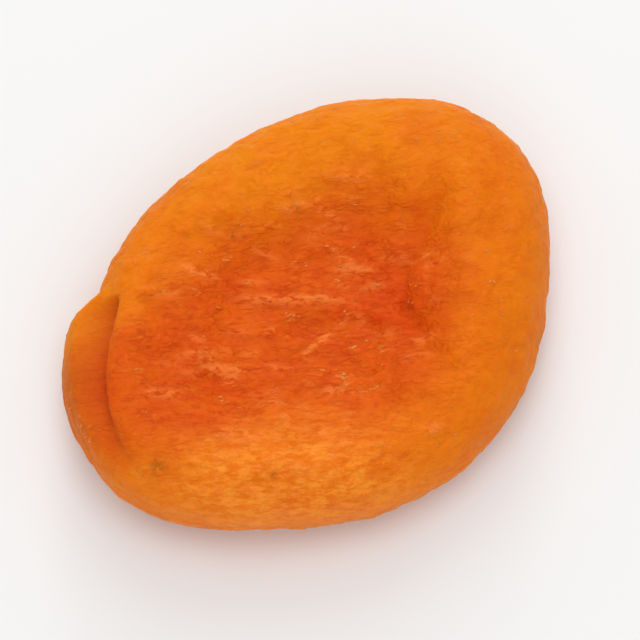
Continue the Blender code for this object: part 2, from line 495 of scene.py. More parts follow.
UPPER_CREASING = Creasing(
    side=Side.UPPER,
    creases=(
        Fold(x=10.9, y=-0.6, heading=28.0, length=14.0, bend=0.012, width=1.3, depth=0.7),
        Fold(x=5.3, y=-5.4, heading=80.0, length=9.0, bend=0.02, width=1.2, depth=0.6),
        Fold(x=-8.0, y=-0.7, heading=-20.0, length=16.0, bend=-0.008, width=1.2, depth=0.42),
        Fold(x=-0.5, y=-1.4, heading=-36.0, length=9.0, bend=0.014, width=1.1, depth=0.4),
        Fold(x=-3.4, y=6.4, heading=-14.0, length=11.0, bend=0.01, width=1.3, depth=0.22),
        Fold(x=3.6, y=5.6, heading=-30.0, length=10.0, bend=-0.015, width=1.2, depth=0.22),
        Fold(x=-5.6, y=-5.6, heading=-30.0, length=10.0, bend=0.016, width=1.1, depth=0.32),
        Fold(x=-10.4, y=4.4, heading=-40.0, length=8.0, bend=-0.02, width=1.1, depth=0.32),
        Fold(x=10.8, y=-0.6, heading=28.0, length=14.0, bend=0.014, width=0.42, depth=0.08),
        Fold(x=6.3, y=-3.5, heading=52.0, length=7.0, bend=0.03, width=0.42, depth=0.24),
        Fold(x=5.2, y=-5.9, heading=84.0, length=7.0, bend=0.03, width=0.38, depth=0.26),
        Fold(x=12.6, y=-1.6, heading=34.0, length=7.0, bend=0.01, width=0.34, depth=0.1),
        Fold(x=8.2, y=-4.6, heading=52.0, length=6.0, bend=0.02, width=0.34, depth=0.14),
    ),
    strewings=(
        Strewing(11, 20, (-2.4, 0.6), (13.2, 10.8), -34.0, 0.26),
        Strewing(31, 130, (-2.0, 0.4), (14.0, 11.0), -34.0, 0.1, (2.2, 5.0), (0.32, 0.6)),
    ),
    pleatings=(
        Pleating(5, 17, 1.6, 0.22),
        Pleating(41, 54, 0.6, 0.09, (2.5, 5.0), (0.4, 0.7)),
    ),
)
UPPER_CRESTS = Creasing(
    side=Side.UPPER,
    creases=(
        Fold(x=-1.0, y=1.7, heading=-39.0, length=12.0, bend=0.006, width=0.42, depth=-0.24),
        Fold(x=-2.2, y=-2.5, heading=4.0, length=4.5, bend=0.02, width=0.35, depth=-0.2),
        Fold(x=-8.9, y=0.1, heading=-30.0, length=5.5, bend=-0.02, width=0.38, depth=-0.2),
        Fold(x=-15.0, y=1.3, heading=-36.0, length=4.0, bend=0.01, width=0.4, depth=-0.22),
        Fold(x=8.9, y=6.8, heading=-42.0, length=4.6, bend=0.01, width=0.45, depth=-0.2),
        Fold(x=3.9, y=7.8, heading=-30.0, length=3.6, bend=-0.03, width=0.32, depth=-0.18),
        Fold(x=-5.8, y=8.0, heading=-48.0, length=5.0, bend=0.02, width=0.42, depth=-0.2),
        Fold(x=4.7, y=0.5, heading=-36.0, length=4.2, bend=-0.02, width=0.36, depth=-0.2),
        Fold(x=-12.5, y=-5.0, heading=-36.0, length=4.6, bend=0.01, width=0.4, depth=-0.16),
        Fold(x=0.3, y=-14.4, heading=-12.0, length=3.6, bend=0.0, width=0.42, depth=-0.14),
    ),
    strewings=(
        Strewing(61, 52, (-3.0, 0.2), (13.5, 10.5), -36.0, -0.12, (1.6, 3.6), (0.25, 0.4)),
        Strewing(67, 44, (-10.2, -8.0), (8.5, 4.6), -36.0, -0.11, (0.8, 2.2), (0.24, 0.38)),
    ),
    pleatings=(),
    shoulder=0.0,
)
UNDER_CREASING = Creasing(
    side=Side.UNDER,
    creases=(
        Fold(x=-1.0, y=0.8, heading=6.0, length=25.0, bend=0.006, width=1.4, depth=1.0),
        Fold(x=6.4, y=-4.4, heading=-24.0, length=13.0, bend=-0.02, width=1.3, depth=0.5),
        Fold(x=-7.0, y=5.4, heading=28.0, length=12.0, bend=-0.02, width=1.3, depth=0.5),
        Fold(x=-8.6, y=-4.6, heading=-32.0, length=11.0, bend=0.022, width=1.3, depth=0.45),
        Fold(x=4.6, y=6.2, heading=22.0, length=10.0, bend=0.02, width=1.3, depth=0.45),
    ),
    strewings=(
        Strewing(23, 18, (0.0, 0.0), (13.2, 10.8), 12.0, 0.24),
        Strewing(37, 110, (0.0, 0.0), (14.0, 11.0), 12.0, 0.13, (2.2, 5.0), (0.35, 0.65)),
    ),
    pleatings=(
        Pleating(8, 15, 1.0, 0.26),
        Pleating(43, 50, 0.6, 0.1, (2.5, 5.0), (0.4, 0.7)),
    ),
)


class Wiring:
    """Adds nodes to a node tree and joins them."""

    def __init__(self, tree: bpy.types.NodeTree) -> None:
        """Takes the tree that is to be filled."""
        self.tree = tree

    def add(self, kind: str, feeds: dict | None = None, **settings: object) -> bpy.types.Node:
        """Adds a node.

        Args:
            kind: Blender's name of the node type.
            feeds: What each input gets, by name or number: another node's output or a plain value.
            settings: The node's own properties.

        Returns:
            The new node.
        """
        made = self.tree.nodes.new(kind)
        for name, value in settings.items():
            setattr(made, name, value)
        for key, value in (feeds or {}).items():
            if isinstance(value, bpy.types.NodeSocket):
                self.tree.links.new(value, made.inputs[key])
            else:
                made.inputs[key].default_value = value
        return made

    def calc(self, operation: str, *values: object) -> bpy.types.NodeSocket:
        """The result of a Math node on the values."""
        return self.add("ShaderNodeMath", dict(enumerate(values)), operation=operation).outputs[0]

    def vector(self, operation: str, *values: object) -> bpy.types.NodeSocket:
        """The vector result of a Vector Math node on the values."""
        feeds = dict(enumerate(values))
        return self.add("ShaderNodeVectorMath", feeds, operation=operation).outputs[0]

    def ramp(self, value: object, low: float, high: float) -> bpy.types.NodeSocket:
        """A smooth mask: 0 where the value is at low, 1 where it is at high."""
        feeds = {0: value, 1: low, 2: high, 3: 0.0, 4: 1.0}
        return self.add("ShaderNodeMapRange", feeds, interpolation_type="SMOOTHSTEP").outputs[0]

    def paint(
        self, mask: object, under: object, over: object, mode: str = "MIX"
    ) -> bpy.types.NodeSocket:
        """One colour laid over another where the mask says."""
        feeds = {0: mask, 6: under, 7: over}
        return self.add("ShaderNodeMix", feeds, data_type="RGBA", blend_type=mode).outputs[2]

    def attribute(self, name: str) -> bpy.types.NodeSocket:
        """A value that is stored on a mesh, read in a material."""
        return self.add("ShaderNodeAttribute", attribute_name=name).outputs["Fac"]

    def stored(self, name: str, kind: str = "FLOAT") -> bpy.types.NodeSocket:
        """A value that is stored on a mesh, read in a Geometry Nodes tree."""
        return self.add("GeometryNodeInputNamedAttribute", {"Name": name}, data_type=kind).outputs[0]


def group_tree(
    name: str, kind: str, ins: Sequence[tuple], outs: Sequence[tuple]
) -> bpy.types.NodeTree:
    """An empty node group with named inputs and outputs.

    Args:
        name: The group's name.
        kind: Its tree type.
        ins: Each input's name, socket type and default, or None where it has none.
        outs: Each output's name and socket type.

    Returns:
        The group.
    """
    tree = bpy.data.node_groups.new(name, kind)
    for label, socket_type, default in ins:
        socket = tree.interface.new_socket(label, in_out="INPUT", socket_type=socket_type)
        if default is not None:
            socket.default_value = default
    for label, socket_type in outs:
        tree.interface.new_socket(label, in_out="OUTPUT", socket_type=socket_type)
    return tree


def as_plain_mesh(piece: bpy.types.Object) -> None:
    """Turns the result of a piece's modifiers into its own mesh and takes the modifiers off.

    Args:
        piece: The object.
    """
    depsgraph = bpy.context.evaluated_depsgraph_get()
    result = bpy.data.meshes.new_from_object(
        piece.evaluated_get(depsgraph), preserve_all_data_layers=True, depsgraph=depsgraph
    )
    piece.modifiers.clear()
    before = piece.data
    piece.data = result
    bpy.data.meshes.remove(before)


def run_tree(piece: bpy.types.Object, tree: bpy.types.NodeTree, values: dict[str, object]) -> None:
    """Runs a Geometry Nodes tree on a piece and keeps its result as a plain mesh.

    Args:
        piece: The object to run it on.
        tree: The tree.
        values: What its named inputs get.
    """
    modifier = piece.modifiers.new(tree.name, "NODES")
    modifier.node_group = tree
    for item in tree.interface.items_tree:
        if item.item_type == "SOCKET" and item.in_out == "INPUT" and item.name in values:
            modifier[item.identifier] = values[item.name]
    as_plain_mesh(piece)


def shown(name: str, mesh: bpy.types.Mesh) -> bpy.types.Object:
    """Puts a mesh in the scene.

    Args:
        name: The new object's name.
        mesh: Its mesh.

    Returns:
        The object.
    """
    piece = bpy.data.objects.new(name, mesh)
    bpy.context.scene.collection.objects.link(piece)
    return piece


@dataclass(frozen=True)
class SkinRelief:
    """Fine wrinkles, dimples and grain of the skin, raised by a Geometry Nodes tree."""

    heading: float = WRINKLE_HEADING
    wrinkle_spacing: float = 1.15 * MM
    wrinkle_stretch: float = 2.8
    wrinkle_depth: float = 0.14 * MM
    rim_depth: float = 0.11 * MM
    dimple_size: float = 3.6 * MM
    dimple_depth: float = 0.7 * MM
    grain_size: float = 0.7 * MM
    grain_depth: float = 0.03 * MM
    seed: float = 3.0

    def dress(self, piece: bpy.types.Object, skin: bpy.types.Material) -> None:
        """Raises the relief on a piece along its normals and gives it its material.

        Args:
            piece: The object, whose mesh carries the values that the tree reads.
            skin: The material.
        """
        run_tree(piece, self.tree(), {**self.sizes(), "Skin": skin})

    def sizes(self) -> dict[str, float]:
        """The sizes by the names of the tree's inputs.

        Returns:
            Each input's name and value.
        """
        return {
            "Heading": self.heading,
            "Wrinkle Spacing": self.wrinkle_spacing,
            "Wrinkle Stretch": self.wrinkle_stretch,
            "Wrinkle Depth": self.wrinkle_depth,
            "Rim Depth": self.rim_depth,
            "Dimple Size": self.dimple_size,
            "Dimple Depth": self.dimple_depth,
            "Grain Size": self.grain_size,
            "Grain Depth": self.grain_depth,
            "Seed": self.seed,
        }

    def tree(self) -> bpy.types.NodeTree:
        """Builds the tree, which also stores how high the fine wrinkles stand at each point.

        Returns:
            The tree.
        """
        tree = group_tree(
            "skin_relief",
            "GeometryNodeTree",
            (
                ("Geometry", "NodeSocketGeometry", None),
                *((label, "NodeSocketFloat", size) for label, size in self.sizes().items()),
                ("Skin", "NodeSocketMaterial", None),
            ),
            (("Geometry", "NodeSocketGeometry"),),
        )
        wiring = Wiring(tree)
        given = wiring.add("NodeGroupInput").outputs
        position = wiring.add("GeometryNodeInputPosition").outputs[0]
        rim = wiring.stored("rim")
        slit = wiring.stored("slit")
        place = wiring.stored("rim_place", "FLOAT_VECTOR")
        turned = wiring.add(
            "ShaderNodeVectorRotate",
            {"Vector": position, "Angle": wiring.calc("MULTIPLY", given["Heading"], -1.0)},
            rotation_type="Z_AXIS",
        ).outputs[0]
        stretched = self.stretched(wiring, given, turned, round_rim=False)
        round_rim = self.stretched(wiring, given, place, round_rim=True)
        face_folds = wiring.calc(
            "ADD",
            wiring.calc("MULTIPLY", self.ridges(wiring, given, stretched, 0.6), 0.5),
            wiring.calc("MULTIPLY", self.pillows(wiring, stretched), 0.6),
        )
        rim_folds = self.ridges(wiring, given, round_rim, 0.3)
        off_rim = wiring.calc("SUBTRACT", 1.0, rim)
        on_face = wiring.calc("MULTIPLY", face_folds, off_rim)
        on_rim = wiring.calc("MULTIPLY", rim_folds, rim)
        height = wiring.calc(
            "ADD",
            wiring.calc("MULTIPLY", on_face, given["Wrinkle Depth"]),
            wiring.calc("MULTIPLY", on_rim, given["Rim Depth"]),
        )
        grain = self.grain(wiring, given, position)
        height = wiring.calc("ADD", height, wiring.calc("MULTIPLY", grain, given["Grain Depth"]))
        fine = wiring.calc("DIVIDE", height, given["Wrinkle Depth"])
        dimples = wiring.calc("MULTIPLY", self.dimples(wiring, given, position), rim)
        height = wiring.calc("ADD", height, dimples)
        height = wiring.calc("MULTIPLY", height, wiring.calc("SUBTRACT", 1.0, slit))
        kept = wiring.add(
            "GeometryNodeStoreNamedAttribute",
            {"Geometry": given["Geometry"], "Name": "fine", "Value": fine},
            data_type="FLOAT",
            domain="POINT",
        ).outputs[0]
        normal = wiring.add("GeometryNodeInputNormal").outputs[0]
        feeds = {0: normal, "Scale": height}
        offset = wiring.add("ShaderNodeVectorMath", feeds, operation="SCALE").outputs[0]
        moved = wiring.vector("ADD", position, offset)
        on_floor = wiring.vector("MAXIMUM", moved, (-1.0, -1.0, 0.0))
        feeds = {"Geometry": kept, "Position": on_floor}
        placed = wiring.add("GeometryNodeSetPosition", feeds).outputs[0]
        realised = wiring.add("GeometryNodeRealizeInstances", {0: placed}).outputs[0]
        feeds = {"Geometry": realised, "Material": given["Skin"]}
        dressed = wiring.add("GeometryNodeSetMaterial", feeds)
        wiring.add("NodeGroupOutput", {0: dressed.outputs[0]})
        return tree

    @staticmethod
    def stretched(
        wiring: Wiring, given: object, place: object, round_rim: bool
    ) -> bpy.types.NodeSocket:
        """Places in wrinkle spacings, drawn out along the wrinkles' own run.

        Args:
            wiring: The tree's wiring.
            given: The tree's inputs.
            place: The place to measure from.
            round_rim: True where the wrinkles follow the rim, false where they follow the heading.

        Returns:
            The place to read the wrinkles' noise at.
        """
        spacing = wiring.calc("DIVIDE", 1.0, given["Wrinkle Spacing"])
        slow = wiring.calc("DIVIDE", spacing, given["Wrinkle Stretch"])
        scale = wiring.add(
            "ShaderNodeCombineXYZ",
            {0: slow, 1: slow if round_rim else spacing, 2: spacing},
        ).outputs[0]
        return wiring.vector("MULTIPLY", place, scale)

    @staticmethod
    def ridges(
        wiring: Wiring, given: object, place: object, distortion: float
    ) -> bpy.types.NodeSocket:
        """Rounded wrinkles between narrow valleys.

        Args:
            wiring: The tree's wiring.
            given: The tree's inputs.
            place: The place to read the wrinkles' noise at.
            distortion: How far the wrinkles wander.

        Returns:
            Their height, from -1 in a valley to about 0.5.
        """
        feeds = {"Vector": place, "W": given["Seed"], "Scale": 1.0, "Detail": 3.0}
        feeds["Distortion"] = distortion
        noise = wiring.add("ShaderNodeTexNoise", feeds, noise_dimensions="4D").outputs[0]
        swing = wiring.calc("ABSOLUTE", wiring.calc("SUBTRACT", noise, 0.5))
        valley = wiring.ramp(swing, 0.09, 0.0)
        return wiring.calc("SUBTRACT", wiring.calc("MULTIPLY", swing, 3.0), valley)

    @staticmethod
    def pillows(wiring: Wiring, place: object) -> bpy.types.NodeSocket:
        """Low pillows of skin with thin creases between them.

        Args:
            wiring: The tree's wiring.
            place: The place to read the pillows' noise at.

        Returns:
            Their height, from -1 in a crease to about 0.3.
        """
        feeds = {"Vector": place, "Scale": 0.7, "Detail": 2.0}
        sway = wiring.add("ShaderNodeTexNoise", feeds).outputs[1]
        swayed = wiring.vector("ADD", place, wiring.vector("MULTIPLY", sway, (1.3, 1.3, 1.3)))
        gap = wiring.add(
            "ShaderNodeTexVoronoi", {"Vector": swayed, "Scale": 0.8}, feature="DISTANCE_TO_EDGE"
        ).outputs[0]
        return wiring.calc("SUBTRACT", wiring.calc("MULTIPLY", wiring.ramp(gap, 0.0, 0.3), 1.3), 1.0)

    @staticmethod
    def dimples(wiring: Wiring, given: object, place: object) -> bpy.types.NodeSocket:
        """Shallow dimples and puckers of the plump rim.

        Args:
            wiring: The tree's wiring.
            given: The tree's inputs.
            place: The place on the fruit.

        Returns:
            Their height in metres.
        """
        scale = wiring.calc("DIVIDE", 1.0, given["Dimple Size"])
        feeds = {"Vector": place, "Scale": scale, "Detail": 2.5}
        noise = wiring.add("ShaderNodeTexNoise", feeds).outputs[0]
        return wiring.calc("MULTIPLY", wiring.calc("SUBTRACT", noise, 0.5), given["Dimple Depth"])

    @staticmethod
    def grain(wiring: Wiring, given: object, place: object) -> bpy.types.NodeSocket:
        """Small soft pits and cells of the skin.

        Args:
            wiring: The tree's wiring.
            given: The tree's inputs.
            place: The place on the fruit.

        Returns:
            Their height, from about -0.5 to 0.5.
        """
        scale = wiring.calc("DIVIDE", 1.0, given["Grain Size"])
        cells = wiring.add(
            "ShaderNodeTexVoronoi",
            {"Vector": place, "Scale": scale, "Smoothness": 0.6},
            feature="SMOOTH_F1",
        ).outputs[0]
        return wiring.calc("SUBTRACT", 0.5, cells)


@dataclass(frozen=True)
class DriedFlesh:
    """Finish of the skin: a rim painted amber on its lit side, a red-orange face, painted shade in the
    folds, pits, slit and lower lip, pale crests that are painted highlights and partly pale skin, a
    painted light line along the edge, and freckles.

    Colours are linear. Sizes are in metres.
    """

    # Painted light: amber is the rim's lit side, orange the rest of the rim.
    amber: Colour = (0.83, 0.235, 0.001)
    orange: Colour = (0.80, 0.192, 0.001)
    straw: Colour = (0.93, 0.31, 0.025)
    dusk: Colour = (0.82, 0.19, 0.003)
    face: Colour = (0.75, 0.118, 0.002)
    face_deep: Colour = (0.70, 0.088, 0.001)
    blush: Colour = (0.67, 0.052, 0.001)
    # Painted shade: the darker colour of the folds, the slit, the pits and the valleys of the fine
    # creases.
    fold: Colour = (0.54, 0.045, 0.001)
    # Painted shade: the lower lip faces away from the light.
    lip: Colour = (0.53, 0.082, 0.001)
    # Painted highlight, partly pale skin: the pale colour of the wrinkle crests.
    crest: Colour = (0.87, 0.23, 0.04)
    # Painted light: a pale line along the edge of the rim, strongest on its lit side.
    painted_edge_light: Colour = (0.97, 0.36, 0.12)
    freckle: Colour = (0.28, 0.08, 0.004)
    ripeness: Colour = (0.95, 0.8, 0.7)
    patch_size: float = 3.2 * MM
    grain_size: float = 0.28 * MM
    crease_height: float = 0.09 * MM
    grain_height: float = 0.03 * MM
    roughness: float = 0.5
    translucency: float = 0.5
    translucent_depth: float = 0.75 * MM
    translucent_spread: Colour = (1.0, 0.34, 0.08)
    shine: float = 0.1
    bloom: float = 0.17
    bloom_softness: float = 0.22
    bloom_tint: Colour = (1.0, 0.55, 0.27)

    def material(self, groups: "SkinGroups") -> bpy.types.Material:
        """Builds the material.

        Args:
            groups: The node groups that the fruit's finishes share.

        Returns:
            The material.
        """
        material = bpy.data.materials.new("dried_flesh_skin")
        material.use_nodes = True
        wiring = Wiring(material.node_tree)
        shader = material.node_tree.nodes["Principled BSDF"]
        place = wiring.add("ShaderNodeTexCoord").outputs["Object"]
        creases = wiring.add("ShaderNodeGroup", {"Vector": place}, node_tree=groups.creases).outputs
        grain = groups.grained(wiring, place, self.grain_size)
        rim = self.rim_share(wiring, place)
        colour = self.colour(wiring, groups, (place, rim, creases["Valleys"]))
        wrinkled = wiring.calc("SUBTRACT", 1.0, wiring.calc("MULTIPLY", rim, 0.45))
        relief = wiring.calc("MULTIPLY", creases["Height"], wrinkled)
        feeds = {"Strength": 0.9, "Distance": self.crease_height, "Height": relief}
        bump = wiring.add("ShaderNodeBump", feeds).outputs[0]
        feeds = {"Strength": 0.6, "Distance": self.grain_height, "Height": grain["Height"]}
        bump = wiring.add("ShaderNodeBump", {**feeds, "Normal": bump}).outputs[0]
        dulled = wiring.calc("MULTIPLY", grain["Mask"], 0.14)
        roughness = wiring.calc("ADD", self.roughness, dulled)
        folded = wiring.calc("MULTIPLY", wiring.attribute("fold"), 0.1)
        roughness = wiring.calc("ADD", roughness, folded)
        for source, label in ((colour, "Base Color"), (roughness, "Roughness"), (bump, "Normal")):
            wiring.tree.links.new(source, shader.inputs[label])
        shader.inputs["Subsurface Weight"].default_value = self.translucency
        shader.inputs["Subsurface Radius"].default_value = self.translucent_spread
        shader.inputs["Subsurface Scale"].default_value = self.translucent_depth
        shader.inputs["Specular IOR Level"].default_value = self.shine
        shader.inputs["Sheen Weight"].default_value = self.bloom
        shader.inputs["Sheen Roughness"].default_value = self.bloom_softness
        shader.inputs["Sheen Tint"].default_value = (*self.bloom_tint, 1.0)
        return material

    @staticmethod
    def drift(wiring: Wiring, place: object) -> bpy.types.NodeSocket:
        """A slow wandering that breaks up the borders of the zones.

        Args:
            wiring: The material's wiring.
            place: The place on the fruit.

        Returns:
            A value that is about 0 in the mean.
        """
        feeds = {"Vector": place, "Scale": 0.3 / MM, "Detail": 5.0, "Distortion": 0.3}
        noise = wiring.add("ShaderNodeTexNoise", feeds).outputs[0]
        return wiring.calc("MULTIPLY", wiring.calc("SUBTRACT", noise, 0.5), 0.5)

    def rim_share(self, wiring: Wiring, place: object) -> bpy.types.NodeSocket:
        """How far the skin has the rim's colour, with a broken border."""
        rim = wiring.calc("ADD", wiring.attribute("rim"), self.drift(wiring, place))
        return wiring.ramp(rim, -0.05, 1.05)

    def colour(
        self, wiring: Wiring, groups: "SkinGroups", masks: tuple[object, object, object]
    ) -> bpy.types.NodeSocket:
        """Lays the colours of the skin over each other, from the broad zones to the single freckles.

        Args:
            wiring: The material's wiring.
            groups: The node groups that the fruit's finishes share.
            masks: The place on the fruit, the rim's share and the valleys of the fine creases.

        Returns:
            The skin's colour.
        """
        place, rim, valleys = masks
        stray = self.drift(wiring, place)
        # Painted light: the rim turns amber on its lit side and at the painted highlight on the lip's
        # corner.
        painted_light_side = wiring.ramp(wiring.calc("ADD", wiring.attribute("painted_light_side"), stray), 0.0, 1.0)
        pale = wiring.ramp(wiring.calc("ADD", wiring.attribute("pale"), stray), 0.2, 0.9)
        band = wiring.paint(painted_light_side, (*self.orange, 1.0), (*self.amber, 1.0))
        drawn = self.drawn_out(wiring, place, 0.75, 1.7)
        feeds = {"Vector": drawn, "Scale": 1.0, "Detail": 6.0, "Roughness": 0.72}
        speckle = wiring.ramp(wiring.add("ShaderNodeTexNoise", feeds).outputs[0], 0.4, 0.62)
        speckled = wiring.paint(speckle, (*self.dusk, 1.0), (*self.straw, 1.0))
        band = wiring.paint(pale, band, speckled)
        face = groups.mottled(wiring, place, (self.face, self.face_deep, self.patch_size))
        colour = wiring.paint(rim, face, band)
        feeds = {"Vector": place, "Scale": 0.34 / MM, "Detail": 5.0, "Roughness": 0.6}
        patches = wiring.add("ShaderNodeTexNoise", feeds).outputs[0]
        ripe = wiring.calc("MULTIPLY", wiring.ramp(patches, 0.42, 0.68), 0.8)
        colour = wiring.paint(ripe, colour, (*self.ripeness, 1.0), "MULTIPLY")
        # Painted shade on the lower lip, in the folds and in the slit, a deeper red blush, and a
        # painted light line along the edge.
        washes = (
            ("lip", 0.85, self.lip),
            ("blush", 0.62, self.blush),
            ("fold", 0.06, self.fold),
            ("slit", 0.58, self.fold),
            ("edge", 0.4, self.painted_edge_light),
        )
        for label, strength, tone in washes:
            mask = wiring.calc("MULTIPLY", wiring.attribute(label), strength)
            colour = wiring.paint(mask, colour, (*tone, 1.0))
        # Painted shade in the valleys of the fine creases, weaker on the rim.
        off_rim = wiring.calc("SUBTRACT", 0.17, wiring.calc("MULTIPLY", rim, 0.11))
        colour = wiring.paint(wiring.calc("MULTIPLY", valleys, off_rim), colour, (*self.fold, 1.0))
        colour = self.pit_shade_and_crest_light(wiring, (place, rim, pale), colour)
        return self.freckled(wiring, place, colour)

    def pit_shade_and_crest_light(
        self, wiring: Wiring, masks: tuple[object, object, object], colour: object
    ) -> bpy.types.NodeSocket:
        """Lays painted shade of small pits over the face, and pale streaks over the crests of its
        wrinkles, which are painted highlights and partly pale skin.

        Args:
            wiring: The material's wiring.
            masks: The place on the fruit, the rim's share and the pale lower band's share.
            colour: The colour below.

        Returns:
            The colour with the painted pit shade and the crest streaks.
        """
        place, rim, pale = masks
        drawn = self.drawn_out(wiring, place, 1.15, 2.1)
        feeds = {"Vector": drawn, "Scale": 1.0, "Detail": 4.0, "Distortion": 0.6}
        flecks = wiring.add("ShaderNodeTexNoise", feeds).outputs[0]
        crest = wiring.ramp(wiring.attribute("fine"), 0.0, 0.5)
        skin = wiring.calc("SUBTRACT", 1.0, wiring.calc("MULTIPLY", rim, 0.75))
        # Painted shade: small dark pits, mostly off the rim.
        pit_shade_share = wiring.calc("MULTIPLY", skin, 0.38)
        pit_shade = wiring.calc("MULTIPLY", wiring.ramp(flecks, 0.46, 0.36), pit_shade_share)
        colour = wiring.paint(pit_shade, colour, (*self.fold, 1.0))
        skin = wiring.calc("MAXIMUM", skin, wiring.calc("MULTIPLY", pale, 0.9))
        # Painted highlight, partly pale skin: pale streaks on the wrinkle crests and on the raised
        # crest rows.
        crest = wiring.calc("MULTIPLY", crest, skin)
        mask = wiring.calc("MULTIPLY", wiring.ramp(flecks, 0.52, 0.63), crest)
        crest_row_light = wiring.calc("MULTIPLY", wiring.attribute("crest"), wiring.ramp(flecks, 0.42, 0.56))
        mask = wiring.calc("MULTIPLY", wiring.calc("MAXIMUM", mask, crest_row_light), 0.75)
        return wiring.paint(mask, colour, (*self.crest, 1.0))

    @staticmethod
    def drawn_out(
        wiring: Wiring, place: object, along: float, across: float
    ) -> bpy.types.NodeSocket:
        """The place in a pattern that is drawn out along the wrinkles of the face.

        Args:
            wiring: The material's wiring.
            place: The place on the fruit.
            along: The pattern's marks per millimetre along the wrinkles.
            across: Its marks per millimetre across them.

        Returns:
            The place to read the pattern's noise at.
        """
        feeds = {"Vector": place, "Angle": -WRINKLE_HEADING}
        turned = wiring.add("ShaderNodeVectorRotate", feeds, rotation_type="Z_AXIS").outputs[0]
        return wiring.vector("MULTIPLY", turned, (along / MM, across / MM, across / MM))

    def freckled(self, wiring: Wiring, place: object, colour: object) -> bpy.types.NodeSocket:
        """Lays a few small brown freckles over a colour.

        Args:
            wiring: The material's wiring.
            place: The place on the fruit.
            colour: The colour below.

        Returns:
            The colour with the freckles.
        """
        feeds = {"Vector": place, "Scale": 2.2 / MM, "Detail": 3.0}
        ragged = wiring.add("ShaderNodeTexNoise", feeds).outputs[1]
        ragged = wiring.vector("MULTIPLY", ragged, (0.7 * MM, 0.7 * MM, 0.7 * MM))
        feeds = {"Vector": wiring.vector("ADD", place, ragged), "Scale": 0.24 / MM}
        spots = wiring.add("ShaderNodeTexVoronoi", feeds).outputs
        near = wiring.ramp(spots["Distance"], 0.1, 0.02)
        chosen = wiring.add("ShaderNodeSeparateColor", {0: spots["Color"]}).outputs[0]
        mask = wiring.calc("MULTIPLY", near, wiring.ramp(chosen, 0.78, 0.84))
        feeds = {"Vector": place, "Scale": 2.6 / MM, "Detail": 3.0}
        crumbs = wiring.ramp(wiring.add("ShaderNodeTexNoise", feeds).outputs[0], 0.38, 0.56)
        scar = wiring.calc("MULTIPLY", wiring.attribute("scar"), crumbs)
        mask = wiring.calc("MULTIPLY", wiring.calc("MAXIMUM", mask, scar), 0.55)
        return wiring.paint(mask, colour, (*self.freckle, 1.0))


@dataclass(frozen=True)
class DriedPulp:
    """Finish of the pale specks of pulp that dried on the skin.

    Colours are linear. Sizes are in metres.
    """

    pale: Colour = (0.86, 0.25, 0.055)
    amber: Colour = (0.82, 0.16, 0.015)
    patch_size: float = 0.9 * MM
    grain_size: float = 0.1 * MM
    grain_height: float = 0.01 * MM
    roughness: float = 0.5
    translucency: float = 0.5
    translucent_depth: float = 0.3 * MM
    translucent_spread: Colour = (1.0, 0.4, 0.15)
    shine: float = 0.15

    def material(self, groups: "SkinGroups") -> bpy.types.Material:
        """Builds the material.

        Args:
            groups: The node groups that the fruit's finishes share.

        Returns:
            The material.
        """
        material = bpy.data.materials.new("dried_pulp")
        material.use_nodes = True
        wiring = Wiring(material.node_tree)
        shader = material.node_tree.nodes["Principled BSDF"]
        place = wiring.add("ShaderNodeTexCoord").outputs["Object"]
        colour = groups.mottled(wiring, place, (self.pale, self.amber, self.patch_size))
        grain = groups.grained(wiring, place, self.grain_size)
        feeds = {"Strength": 0.4, "Distance": self.grain_height, "Height": grain["Height"]}
        bump = wiring.add("ShaderNodeBump", feeds).outputs[0]
        dulled = wiring.calc("MULTIPLY", grain["Mask"], 0.15)
        roughness = wiring.calc("ADD", self.roughness, dulled)
        for source, label in ((colour, "Base Color"), (roughness, "Roughness"), (bump, "Normal")):
            wiring.tree.links.new(source, shader.inputs[label])
        shader.inputs["Subsurface Weight"].default_value = self.translucency
        shader.inputs["Subsurface Radius"].default_value = self.translucent_spread
        shader.inputs["Subsurface Scale"].default_value = self.translucent_depth
        shader.inputs["Specular IOR Level"].default_value = self.shine
        return material


